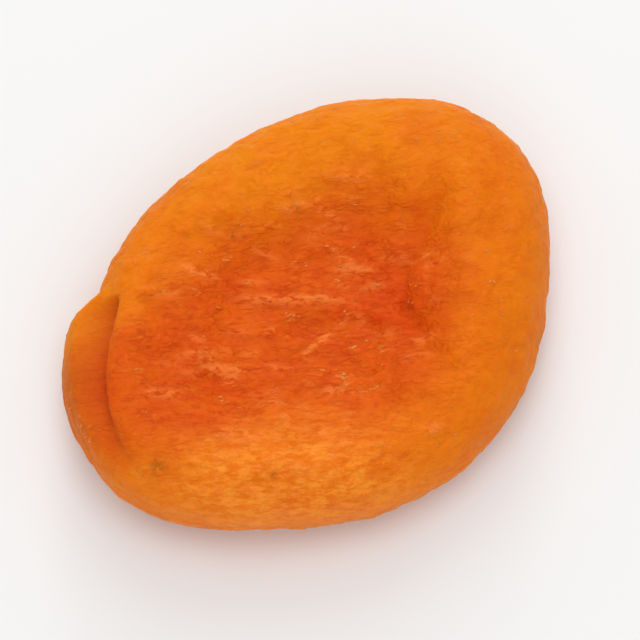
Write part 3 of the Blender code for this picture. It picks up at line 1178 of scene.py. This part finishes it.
class SkinGroups:
    """The shader node groups that the finishes share: a mottle, fine creases and a grain."""

    def __init__(self) -> None:
        """Builds the groups."""
        self.mottle = self.build_mottle()
        self.creases = self.build_creases()
        self.grain = self.build_grain()

    def mottled(
        self, wiring: Wiring, place: object, tones: tuple[Colour, Colour, float]
    ) -> bpy.types.NodeSocket:
        """Places the mottle in a material.

        Args:
            wiring: The material's wiring.
            place: The place on the piece.
            tones: The light tone, the deep tone and the size of the patches.

        Returns:
            The colour.
        """
        light, deep, size = tones
        feeds = {"Vector": place, "Light": (*light, 1.0), "Deep": (*deep, 1.0), "Size": size}
        return wiring.add("ShaderNodeGroup", feeds, node_tree=self.mottle).outputs["Colour"]

    def grained(self, wiring: Wiring, place: object, size: float) -> bpy.types.NodeOutputs:
        """Places the grain in a material, and gives its height and its mask."""
        feeds = {"Vector": place, "Size": size}
        return wiring.add("ShaderNodeGroup", feeds, node_tree=self.grain).outputs

    @staticmethod
    def build_mottle() -> bpy.types.NodeTree:
        """Builds a colour that drifts between two tones, in large patches and in small ones.

        Returns:
            The group.
        """
        tree = group_tree(
            "skin_mottle",
            "ShaderNodeTree",
            (
                ("Vector", "NodeSocketVector", None),
                ("Light", "NodeSocketColor", (1.0, 0.5, 0.1, 1.0)),
                ("Deep", "NodeSocketColor", (0.8, 0.2, 0.05, 1.0)),
                ("Size", "NodeSocketFloat", 3.0 * MM),
            ),
            (("Colour", "NodeSocketColor"),),
        )
        wiring = Wiring(tree)
        given = wiring.add("NodeGroupInput").outputs
        scale = wiring.calc("DIVIDE", 1.0, given["Size"])
        feeds = {"Vector": given["Vector"], "Scale": scale, "Detail": 5.0, "Roughness": 0.6}
        broad = wiring.calc("MULTIPLY", wiring.add("ShaderNodeTexNoise", feeds).outputs[0], 0.7)
        finer = wiring.calc("MULTIPLY", scale, 7.0)
        feeds = {"Vector": given["Vector"], "Scale": finer, "Detail": 3.0}
        small = wiring.calc("MULTIPLY", wiring.add("ShaderNodeTexNoise", feeds).outputs[0], 0.3)
        mixed = wiring.calc("ADD", broad, small)
        colour = wiring.paint(wiring.ramp(mixed, 0.38, 0.62), given["Light"], given["Deep"])
        wiring.add("NodeGroupOutput", {"Colour": colour})
        return tree

    @staticmethod
    def build_creases() -> bpy.types.NodeTree:
        """Builds hair-thin creases that run roughly one way.

        Returns:
            The group, which puts out a height and a mask of the valleys.
        """
        tree = group_tree(
            "skin_creases",
            "ShaderNodeTree",
            (
                ("Vector", "NodeSocketVector", None),
                ("Heading", "NodeSocketFloat", WRINKLE_HEADING),
                ("Size", "NodeSocketFloat", 0.5 * MM),
                ("Stretch", "NodeSocketFloat", 2.6),
            ),
            (("Height", "NodeSocketFloat"), ("Valleys", "NodeSocketFloat")),
        )
        wiring = Wiring(tree)
        given = wiring.add("NodeGroupInput").outputs
        turned = wiring.add(
            "ShaderNodeVectorRotate",
            {"Vector": given["Vector"], "Angle": wiring.calc("MULTIPLY", given["Heading"], -1.0)},
            rotation_type="Z_AXIS",
        ).outputs[0]
        fine = wiring.calc("DIVIDE", 1.0, given["Size"])
        drawn = wiring.add(
            "ShaderNodeCombineXYZ", {0: wiring.calc("DIVIDE", fine, given["Stretch"]), 1: fine, 2: fine}
        ).outputs[0]
        cells = wiring.vector("MULTIPLY", turned, drawn)
        sway = wiring.add("ShaderNodeTexNoise", {"Vector": cells, "Scale": 0.5, "Detail": 3.0}).outputs
        aside = wiring.vector("MULTIPLY", sway[1], (1.8, 1.8, 1.8))
        feeds = {"Vector": wiring.vector("ADD", cells, aside), "Scale": 1.0}
        gap = wiring.add("ShaderNodeTexVoronoi", feeds, feature="DISTANCE_TO_EDGE").outputs[0]
        open_share = wiring.ramp(sway[0], 0.36, 0.6)
        valleys = wiring.calc("MULTIPLY", wiring.ramp(gap, 0.16, 0.0), open_share)
        pillow = wiring.calc("MULTIPLY", wiring.ramp(gap, 0.0, 0.45), 0.5)
        height = wiring.calc("SUBTRACT", pillow, wiring.calc("MULTIPLY", valleys, 0.6))
        wiring.add("NodeGroupOutput", {"Height": height, "Valleys": valleys})
        return tree

    @staticmethod
    def build_grain() -> bpy.types.NodeTree:
        """Builds fine pits between soft cells.

        Returns:
            The group, which puts out a height and a mask of where the skin is duller.
        """
        tree = group_tree(
            "skin_grain",
            "ShaderNodeTree",
            (("Vector", "NodeSocketVector", None), ("Size", "NodeSocketFloat", 0.3 * MM)),
            (("Height", "NodeSocketFloat"), ("Mask", "NodeSocketFloat")),
        )
        wiring = Wiring(tree)
        given = wiring.add("NodeGroupInput").outputs
        scale = wiring.calc("DIVIDE", 1.0, given["Size"])
        feeds = {"Vector": given["Vector"], "Scale": scale}
        cells = wiring.add("ShaderNodeTexVoronoi", feeds).outputs[0]
        broader = wiring.calc("MULTIPLY", scale, 0.45)
        feeds = {"Vector": given["Vector"], "Scale": broader, "Detail": 4.0}
        soft = wiring.add("ShaderNodeTexNoise", feeds).outputs[0]
        height = wiring.calc("ADD", wiring.calc("MULTIPLY", cells, -0.4), soft)
        wiring.add("NodeGroupOutput", {"Height": height, "Mask": wiring.ramp(soft, 0.35, 0.65)})
        return tree


@dataclass
class Apricot:
    """The fruit's flesh and skin: its form, its folds and the mesh that carries both.

    The band is the breadth of the rim's colour. Scars are places in plan and their radii.
    """

    form: FruitForm = field(default_factory=FruitForm)
    creasings: Sequence[Creasing] = (UPPER_CREASING, UNDER_CREASING)
    crests: Creasing = UPPER_CRESTS
    skin_relief: SkinRelief = field(default_factory=SkinRelief)
    cells_across: int = 150
    cells_up: int = 80
    settle: float = 0.6
    settle_ease: float = 0.25
    blush_middle: tuple[float, float] = (5.2, -3.2)
    blush_reach: float = 3.4
    band: float = 7.4
    band_swells: Table = (
        (56, 42, 2.2),
        (4, 24, 4.2),
        (-88, 35, -1.4),
        (-150, 25, 1.4),
        (168, 26, -7.0),
    )
    band_softness: float = 11.0
    # Painted light: where round the rim its lit side turns amber, and where the lip's corner gets a
    # painted highlight.
    painted_light_swells: Table = ((62, 46, 1.0), (145, 10, 0.9))
    pale_swells: Table = ((-136, 42, 1.0),)
    # Painted highlight: the lip's corner is kept out of the lip's painted shade.
    lip_corner_highlight_swells: Table = ((145, 11, 0.95),)
    # Painted light: where round the fruit the painted light line along the edge lies, and how far past
    # the roll it reaches.
    edge_light_swells: Table = ((50, 75, 1.0), (-130, 60, 0.6))
    edge_light_reach: float = 0.3
    side_softness: float = 1.2
    full_fold: float = 0.75
    full_crest: float = 0.16
    scars: Table = ((-19.0, -3.4, 0.7), (4.0, 7.7, 0.4), (-1.6, 8.9, 0.35), (-12.4, -9.9, 0.35))

    def build(self, skin: bpy.types.Material) -> bpy.types.Object:
        """Builds the fruit as one closed mesh with the values that its material reads.

        Args:
            skin: The fruit's material.

        Returns:
            The finished piece.
        """
        mesh = bpy.data.meshes.new("dried_apricot")
        box = self.divided_box()
        box.to_mesh(mesh)
        box.free()
        start = self.vectors(mesh.vertices, "co")
        plain = self.form.points(start)
        mesh.vertices.foreach_set("co", plain.ravel())
        mesh.update()
        normals = self.vectors(mesh.vertices, "normal")
        relief = sum(creasing.relief(self.form, plain, normals) for creasing in self.creasings)
        crests = self.crests.relief(self.form, plain, normals)
        points = self.settled(plain + normals * (relief + crests)[:, None])
        mesh.vertices.foreach_set("co", (points * MM).ravel())
        self.store(mesh, start, plain, (relief, crests))
        mesh.update()
        mesh.shade_smooth()
        piece = shown("dried_apricot", mesh)
        self.skin_relief.dress(piece, skin)
        return piece

    def divided_box(self) -> bmesh.types.BMesh:
        """Builds a box from -1 to 1 with its faces divided into squares.

        Returns:
            The box, which the caller frees.
        """

        def rise(edge: bmesh.types.BMEdge) -> float:
            """Difference in height between the ends of an edge."""
            return abs(edge.verts[0].co.z - edge.verts[1].co.z)

        box = bmesh.new()
        bmesh.ops.create_cube(box, size=2.0)
        upright = [edge for edge in box.edges if rise(edge) > 1.0]
        bmesh.ops.subdivide_edges(box, edges=upright, cuts=self.cells_up - 1)
        level = [edge for edge in box.edges if rise(edge) < 1.0 / self.cells_up]
        bmesh.ops.subdivide_edges(box, edges=level, cuts=self.cells_across - 1, use_grid_fill=True)
        return box

    @staticmethod
    def vectors(items: object, label: str) -> np.ndarray:
        """Reads a vector of each item of a mesh.

        Args:
            items: The mesh's items, such as its vertices.
            label: The vector's name.

        Returns:
            The vectors, as rows.
        """
        values = np.empty(len(items) * 3)
        items.foreach_get(label, values)
        return values.reshape(-1, 3)

    def settled(self, points: np.ndarray) -> np.ndarray:
        """Lets points down until the lowest give way and lie flat, and centres them in plan.

        Args:
            points: The points, as rows.

        Returns:
            The settled points.
        """
        ease = self.settle_ease
        height = points[:, 2] - points[:, 2].min() - self.settle
        eased = (height + ease) ** 2 / (4.0 * ease)
        height = np.where(height > ease, height, np.where(height > -ease, eased, 0.0))
        middle = (points.max(axis=0) + points.min(axis=0)) / 2.0
        return np.column_stack((points[:, 0] - middle[0], points[:, 1] - middle[1], height))

    def scarred(self, plain: np.ndarray) -> np.ndarray:
        """How near each point lies to one of the brown scars.

        Args:
            plain: Each point on the plain fruit.

        Returns:
            The nearness of each point, 1 at a scar's middle.
        """
        nearest = np.zeros(len(plain))
        for x, y, reach in self.scars:
            distance = np.hypot(plain[:, 0] - x, plain[:, 1] - y)
            nearest = np.maximum(nearest, np.exp(-((distance / reach) ** 2)))
        return nearest

    def store(
        self,
        mesh: bpy.types.Mesh,
        box: np.ndarray,
        plain: np.ndarray,
        reliefs: tuple[np.ndarray, np.ndarray],
    ) -> None:
        """Stores what the material and the skin's relief read: zones, folds and rim places.

        Args:
            mesh: The fruit's mesh.
            box: Each point's place on the box that the fruit is drawn from.
            plain: Each point on the plain fruit.
            reliefs: The heights that the folds and the crests added.
        """
        relief, crests = reliefs
        share, turn, azimuth = self.form.places(box)
        above = box[:, 2] >= 0.0
        groove, lip = self.form.slit(share, turn, azimuth)
        side = np.where(above, Side.UPPER.value, Side.UNDER.value)
        blush_x, blush_y = self.blush_middle
        from_blush = np.hypot(plain[:, 0] - blush_x, plain[:, 1] - blush_y)
        inside = self.form.outline(azimuth) - np.hypot(plain[:, 0], plain[:, 1])
        from_edge = side * (1.0 - turn / QUARTER_TURN)
        on_upper = smooth_step(0.5 + from_edge / self.side_softness)
        valleys = np.clip(-relief / self.full_fold, 0.0, 1.0)
        band = self.band + on_upper * swells(azimuth, self.band_swells)
        on_lip = np.where(above, lip, self.form.lip_root(turn, azimuth))
        past_roll = (turn / QUARTER_TURN - 1.0) / self.edge_light_reach
        values = {
            "rim": smooth_step(0.5 + (band - inside) / self.band_softness),
            # painted light: the lit side of the rim and a painted highlight on the lip's corner
            "painted_light_side": swells(azimuth, self.painted_light_swells),
            "pale": swells(azimuth, self.pale_swells) * on_upper,
            # fold and slit carry painted shade in the material; fold also makes the skin rougher there
            "fold": np.clip(valleys + np.where(above, groove, 0.0), 0.0, 1.0),
            "slit": np.where(above, np.sqrt(groove), 0.0),
            # painted light line along the edge, strongest on the lit side
            "edge": np.exp(-(past_roll**2)) * swells(azimuth, self.edge_light_swells),
            # painted shade on the lower lip, left off at its corner for a painted highlight
            "lip": on_lip * (1.0 - swells(azimuth, self.lip_corner_highlight_swells)),
            "crest": np.clip(crests / self.full_crest, 0.0, 1.0),
            "scar": np.where(above, self.scarred(plain), 0.0),
            "blush": np.where(above, np.exp(-((from_blush / self.blush_reach) ** 2)), 0.0),
        }
        for label, value in values.items():
            mesh.attributes.new(label, "FLOAT", "POINT").data.foreach_set("value", value)
        arc = (turn + share - 1.0) * self.form.roll * side
        reach = self.form.mean_radius
        place = np.column_stack((reach * np.cos(azimuth), reach * np.sin(azimuth), arc)) * MM
        rim_place = mesh.attributes.new("rim_place", "FLOAT_VECTOR", "POINT")
        rim_place.data.foreach_set("vector", place.ravel())


@dataclass
class PulpSpecks:
    """Small pale specks and shreds of dried pulp, strewn over the skin by a Geometry Nodes tree."""

    density: float = 4.5e6
    length: float = 0.5 * MM
    length_shares: Range = (0.35, 1.25)
    width_shares: Range = (0.2, 0.42)
    flatness: float = 0.55
    heading: float = WRINKLE_HEADING
    turns: Range = (-0.5, 0.5)
    lowest: Range = (1.0 * MM, 3.0 * MM)
    seed: int = 5

    def build(self, fruit: bpy.types.Object, pulp: bpy.types.Material) -> bpy.types.Object:
        """Strews the specks over a copy of the fruit's mesh.

        Args:
            fruit: The finished fruit.
            pulp: The specks' material.

        Returns:
            The finished piece.
        """
        piece = shown("pulp_specks", fruit.data.copy())
        piece.data.name = "pulp_specks"
        values = {
            "Density": self.density,
            "Length": self.length,
            "Heading": self.heading,
            "Seed": self.seed,
            "Pulp": pulp,
        }
        run_tree(piece, self.tree(), values)
        piece.data.shade_smooth()
        return piece

    def tree(self) -> bpy.types.NodeTree:
        """Builds the tree: points on the skin and a small drawn-out speck on each.

        Returns:
            The tree.
        """
        tree = group_tree(
            "pulp_specks",
            "GeometryNodeTree",
            (
                ("Geometry", "NodeSocketGeometry", None),
                ("Density", "NodeSocketFloat", self.density),
                ("Length", "NodeSocketFloat", self.length),
                ("Heading", "NodeSocketFloat", self.heading),
                ("Seed", "NodeSocketInt", self.seed),
                ("Pulp", "NodeSocketMaterial", None),
            ),
            (("Geometry", "NodeSocketGeometry"),),
        )
        wiring = Wiring(tree)
        given = wiring.add("NodeGroupInput").outputs
        rim = wiring.stored("rim")
        fine = wiring.stored("fine")
        position = wiring.add("GeometryNodeInputPosition").outputs[0]
        height = wiring.add("ShaderNodeSeparateXYZ", {0: position}).outputs[2]
        where = wiring.calc("MULTIPLY", wiring.ramp(fine, 0.0, 0.5), wiring.ramp(rim, 1.25, 0.2))
        where = wiring.calc("MULTIPLY", where, wiring.ramp(height, *self.lowest))
        density = wiring.calc("MULTIPLY", where, given["Density"])
        spread = wiring.add(
            "GeometryNodeDistributePointsOnFaces",
            {"Mesh": given["Geometry"], "Density": density, "Seed": given["Seed"]},
            distribute_method="RANDOM",
        ).outputs
        angle = wiring.calc("ADD", given["Heading"], self.drawn(wiring, given["Seed"], self.turns))
        feeds = {0: wiring.calc("COSINE", angle), 1: wiring.calc("SINE", angle), 2: 0.0}
        run = wiring.add("ShaderNodeCombineXYZ", feeds).outputs[0]
        rotation = wiring.add(
            "FunctionNodeAlignRotationToVector",
            {"Rotation": spread["Rotation"], "Vector": run},
            axis="X",
            pivot_axis="Z",
        ).outputs[0]
        long_share = self.drawn(wiring, given["Seed"], self.length_shares)
        length = wiring.calc("MULTIPLY", given["Length"], long_share)
        slim_share = self.drawn(wiring, given["Seed"], self.width_shares)
        slim = wiring.calc("MULTIPLY", given["Length"], slim_share)
        feeds = {0: length, 1: slim, 2: wiring.calc("MULTIPLY", slim, self.flatness)}
        size = wiring.add("ShaderNodeCombineXYZ", feeds).outputs[0]
        feeds = {"Segments": 8, "Rings": 5, "Radius": 0.5}
        speck = wiring.add("GeometryNodeMeshUVSphere", feeds).outputs[0]
        feeds = {"Points": spread["Points"], "Instance": speck, "Rotation": rotation}
        strewn = wiring.add("GeometryNodeInstanceOnPoints", {**feeds, "Scale": size}).outputs[0]
        realised = wiring.add("GeometryNodeRealizeInstances", {0: strewn}).outputs[0]
        feeds = {"Geometry": realised, "Material": given["Pulp"]}
        dressed = wiring.add("GeometryNodeSetMaterial", feeds)
        wiring.add("NodeGroupOutput", {0: dressed.outputs[0]})
        return tree

    @staticmethod
    def drawn(wiring: Wiring, seed: object, limits: Range) -> bpy.types.NodeSocket:
        """A random number for each speck.

        The count of nodes so far is added to the seed, so no two draws of the tree are alike.

        Args:
            wiring: The tree's wiring.
            seed: The tree's seed.
            limits: The lowest and the highest number.

        Returns:
            The number.
        """
        own_seed = wiring.calc("ADD", seed, float(len(wiring.tree.nodes)))
        feeds = {2: limits[0], 3: limits[1], "Seed": own_seed}
        return wiring.add("FunctionNodeRandomValue", feeds, data_type="FLOAT").outputs[1]


@dataclass(frozen=True)
class Lamp:
    """A square area lamp that looks at the fruit. Its power is in watts."""

    name: str
    place: Place
    side: float
    power: float

    def build(self) -> None:
        """Hangs the lamp."""
        lamp = bpy.data.objects.new(self.name, bpy.data.lights.new(self.name, "AREA"))
        lamp.data.size = self.side
        lamp.data.energy = self.power
        lamp.location = self.place
        lamp.rotation_euler = (-Vector(self.place)).to_track_quat("-Z", "Y").to_euler()
        bpy.context.scene.collection.objects.link(lamp)


@dataclass
class Studio:
    """The plain floor, the soft lights and the camera. Lengths are in metres, angles in degrees."""

    azimuth: float = -39.0
    elevation: float = 68.0
    lens: float = 200.0
    distance: float = 0.292
    target: Place = (0.0, 0.0, 4.5 * MM)
    floor_reach: float = 1.5
    floor_tone: Colour = (0.86, 0.86, 0.855)
    floor_roughness: float = 0.75
    floor_shine: float = 0.2
    lamps: Sequence[Lamp] = (
        Lamp("key", (0.22, 0.28, 0.3), 0.26, 0.45),
        Lamp("edge", (0.27, 0.34, 0.17), 0.12, 0.28),
        Lamp("fill", (-0.2, -0.3, 0.3), 0.35, 0.4),
        Lamp("top", (0.0, 0.0, 0.5), 0.35, 0.7),
    )
    daylight: float = 0.57

    def build(self) -> None:
        """Sets up everything that isn't part of the fruit."""
        self.floor()
        self.camera()
        for lamp in self.lamps:
            lamp.build()
        self.world()
        bpy.context.scene.view_settings.view_transform = "Standard"

    def floor(self) -> None:
        """A wide plain pale floor just under the fruit."""
        mesh = bpy.data.meshes.new("floor")
        plane = bmesh.new()
        bmesh.ops.create_grid(plane, x_segments=1, y_segments=1, size=self.floor_reach)
        plane.to_mesh(mesh)
        plane.free()
        material = bpy.data.materials.new("pale_floor")
        material.use_nodes = True
        shader = material.node_tree.nodes["Principled BSDF"]
        shader.inputs["Base Color"].default_value = (*self.floor_tone, 1.0)
        shader.inputs["Roughness"].default_value = self.floor_roughness
        shader.inputs["Specular IOR Level"].default_value = self.floor_shine
        mesh.materials.append(material)
        shown("floor", mesh)

    def camera(self) -> None:
        """A long lens at the photograph's viewing angle."""
        azimuth, elevation = math.radians(self.azimuth), math.radians(self.elevation)
        back = Vector(
            (
                math.sin(azimuth) * math.cos(elevation),
                -math.cos(azimuth) * math.cos(elevation),
                math.sin(elevation),
            )
        )
        camera = bpy.data.objects.new("camera", bpy.data.cameras.new("camera"))
        camera.data.lens = self.lens
        camera.location = Vector(self.target) + back * self.distance
        camera.rotation_euler = (-back).to_track_quat("-Z", "Y").to_euler()
        bpy.context.scene.collection.objects.link(camera)
        bpy.context.scene.camera = camera

    def world(self) -> None:
        """Even white light from all round."""
        world = bpy.data.worlds.new("studio")
        world.use_nodes = True
        background = world.node_tree.nodes["Background"]
        background.inputs["Color"].default_value = (1.0, 1.0, 1.0, 1.0)
        background.inputs["Strength"].default_value = self.daylight
        bpy.context.scene.world = world


def report(piece: bpy.types.Object) -> None:
    """Logs a finished piece's name, triangles and size.

    Args:
        piece: The object.
    """
    triangles = sum(len(polygon.vertices) - 2 for polygon in piece.data.polygons)
    size = " x ".join(f"{edge / MM:.1f}" for edge in piece.dimensions)
    log.info("%s: %d triangles, %s mm", piece.name, triangles, size)


def main() -> None:
    """Builds the studio and the fruit."""
    logging.basicConfig(level=logging.INFO, format="%(message)s")
    Studio().build()
    groups = SkinGroups()
    fruit = Apricot().build(DriedFlesh().material(groups))
    specks = PulpSpecks().build(fruit, DriedPulp().material(groups))
    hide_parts("apricot")
    for piece in (fruit, specks):
        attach(piece, "root")
        report(piece)


if __name__ == "__main__":
    main()
